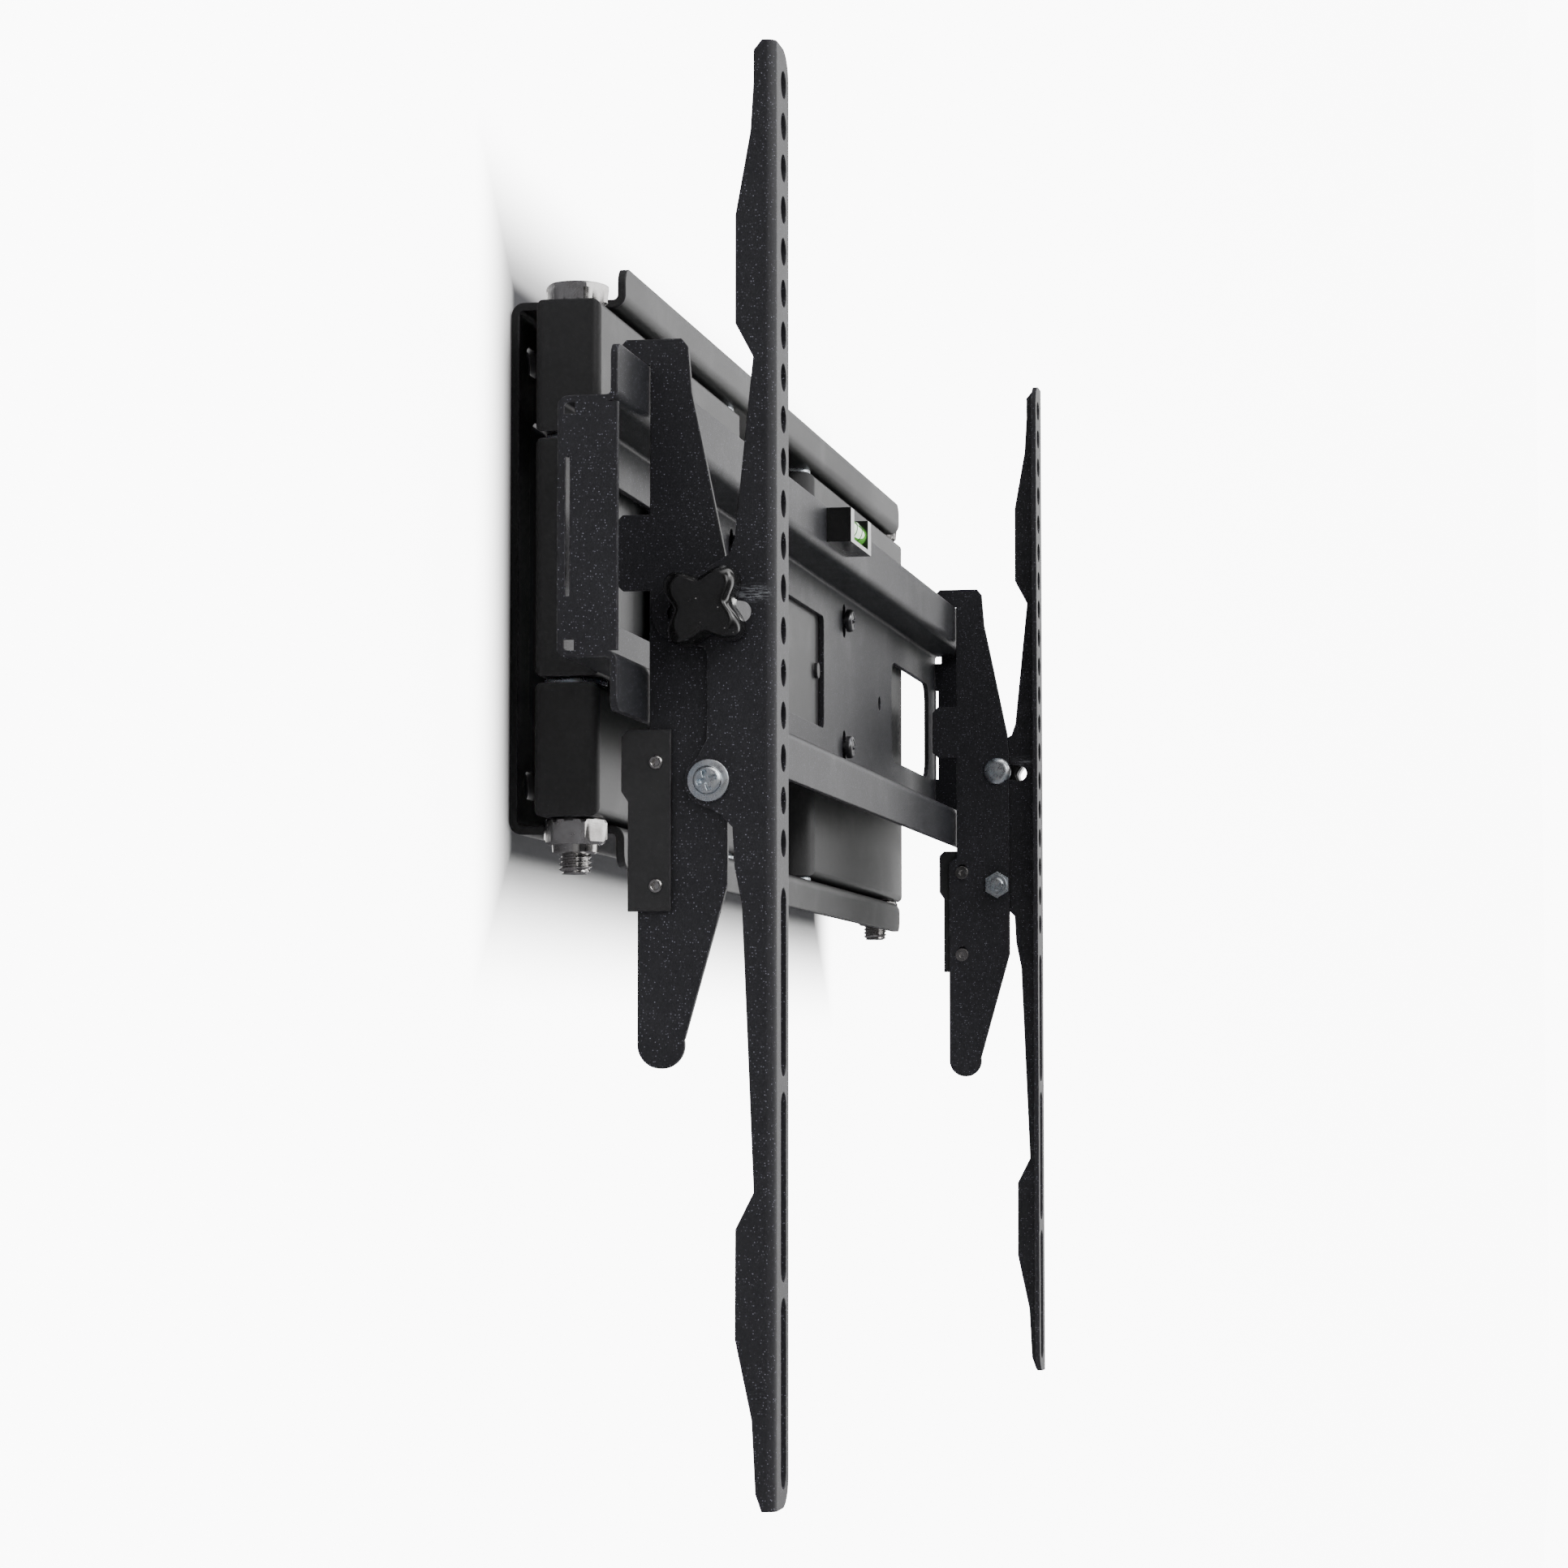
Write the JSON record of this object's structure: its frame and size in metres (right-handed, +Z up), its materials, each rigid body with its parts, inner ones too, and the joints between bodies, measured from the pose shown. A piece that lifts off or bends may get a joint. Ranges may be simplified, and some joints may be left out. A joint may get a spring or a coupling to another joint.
{
  "type": "full motion tv wall mount",
  "caption": "Folding-arm wall mount for a flat screen: wall plate, twin folding arms, levelling cross plate and tilting hook-on rails with clamping knobs.",
  "frame": {"origin": "centre of the wall plate on the wall plane", "axes": "+X along the wall plate, +Y into the wall, +Z up; the screen side faces -Y"},
  "size_m": [0.704, 0.092, 0.428],
  "materials": {
    "satin_black": "smooth satin black powder coat",
    "powder_black": "fine-textured black powder coat with a metallic sparkle",
    "plastic_black": "glossy moulded plastic",
    "zinc": "blue-white zinc plate",
    "chrome": "bright nickel plate",
    "vial_green": "clear tube with green fluid"
  },
  "bodies": {
    "wall": {"wall_plate": "satin_black", "shoulder_pin_left_upper": "zinc", "shoulder_pin_right_upper": "zinc", "shoulder_pin_left_lower": "zinc", "shoulder_pin_right_lower": "zinc"},
    "link_wall_left": {"tube_left_upper": "satin_black", "tube_left_lower": "satin_black", "elbow_bolt_left": "chrome", "elbow_nut_left": "chrome", "elbow_washer_left_upper": "zinc", "elbow_washer_left_lower": "zinc"},
    "link_head_left": {"tube_left_middle": "satin_black"},
    "bracket_left": {"hook_plate_left": "powder_black", "tilt_screw_left": "zinc", "tilt_washer_left": "zinc", "tilt_nut_left": "zinc", "knob_stud_left": "zinc"},
    "rail_left": {"rail_left": "powder_black"},
    "knob_left": {"knob_left": "plastic_black"},
    "latch_left": {"latch_left": "powder_black", "latch_rivet_left_upper": "zinc", "latch_rivet_left_lower": "zinc"},
    "link_wall_right": {"tube_right_upper": "satin_black", "tube_right_lower": "satin_black", "elbow_bolt_right": "chrome", "elbow_nut_right": "chrome", "elbow_washer_right_upper": "zinc", "elbow_washer_right_lower": "zinc"},
    "link_head_right": {"tube_right_middle": "satin_black"},
    "bracket_right": {"hook_plate_right": "powder_black", "tilt_screw_right": "zinc", "tilt_washer_right": "zinc", "tilt_nut_right": "zinc", "knob_stud_right": "zinc"},
    "rail_right": {"rail_right": "powder_black"},
    "knob_right": {"knob_right": "plastic_black"},
    "latch_right": {"latch_right": "powder_black", "latch_rivet_right_upper": "zinc", "latch_rivet_right_lower": "zinc"},
    "head": {"head_plate": "satin_black", "head_pin_left": "zinc", "head_pin_right": "zinc", "head_bolt_left_upper": "zinc", "head_bolt_right_upper": "zinc", "head_bolt_left_lower": "zinc", "head_bolt_right_lower": "zinc"},
    "cross": {"cross_plate": "powder_black", "level_holder": "plastic_black", "level_vial": "vial_green"}
  },
  "joints": [
    {"name": "arm_extend", "type": "hinge", "parent": "wall", "child": "link_wall_left", "pos_m": [-0.075, -0.0235, 0], "axis": [0, 0, 1], "range_deg": [0, 75]},
    {"name": "elbow_left", "type": "hinge", "parent": "link_wall_left", "child": "link_head_left", "pos_m": [-0.275, -0.0235, 0], "axis": [0, 0, 1], "range_deg": [-150, 0]},
    {"name": "head_swivel", "type": "hinge", "parent": "link_head_left", "child": "head", "pos_m": [-0.075, -0.0235, 0], "axis": [0, 0, 1], "range_deg": [0, 75]},
    {"name": "shoulder_right", "type": "hinge", "parent": "wall", "child": "link_wall_right", "pos_m": [0.075, -0.0235, 0], "axis": [0, 0, 1], "range_deg": [-75, 0]},
    {"name": "elbow_right", "type": "hinge", "parent": "link_wall_right", "child": "link_head_right", "pos_m": [0.275, -0.0235, 0], "axis": [0, 0, 1], "range_deg": [0, 150]},
    {"name": "level_roll", "type": "hinge", "parent": "head", "child": "cross", "pos_m": [0, -0.0364, 0], "axis": [0, 1, 0], "range_deg": [-1.5, 1.5]},
    {"name": "bracket_slide_left", "type": "slide", "parent": "cross", "child": "bracket_left", "axis": [1, 0, 0], "range_m": [-0.03, 0.2]},
    {"name": "tilt_left", "type": "hinge", "parent": "bracket_left", "child": "rail_left", "pos_m": [-0.312, -0.0724, -0.07], "axis": [1, 0, 0], "range_deg": [-10, 10]},
    {"name": "knob_turn_left", "type": "hinge", "parent": "bracket_left", "child": "knob_left", "pos_m": [-0.32, -0.0724, -0.02], "axis": [1, 0, 0], "continuous": true},
    {"name": "latch_lift_left", "type": "slide", "parent": "bracket_left", "child": "latch_left", "axis": [0, 0, 1], "range_m": [0, 0.002]},
    {"name": "bracket_slide_right", "type": "slide", "parent": "cross", "child": "bracket_right", "axis": [-1, 0, 0], "range_m": [-0.03, 0.2]},
    {"name": "tilt_right", "type": "hinge", "parent": "bracket_right", "child": "rail_right", "pos_m": [0.312, -0.0724, -0.07], "axis": [1, 0, 0], "range_deg": [-10, 10]},
    {"name": "knob_turn_right", "type": "hinge", "parent": "bracket_right", "child": "knob_right", "pos_m": [0.32, -0.0724, -0.02], "axis": [1, 0, 0], "continuous": true},
    {"name": "latch_lift_right", "type": "slide", "parent": "bracket_right", "child": "latch_right", "axis": [0, 0, 1], "range_m": [0, 0.002]}
  ],
  "couplings": [
    {"joint": "elbow_left", "follows": "arm_extend", "ratio": -2},
    {"joint": "head_swivel", "follows": "arm_extend", "ratio": 1},
    {"joint": "shoulder_right", "follows": "arm_extend", "ratio": -1},
    {"joint": "elbow_right", "follows": "arm_extend", "ratio": 2}
  ]
}
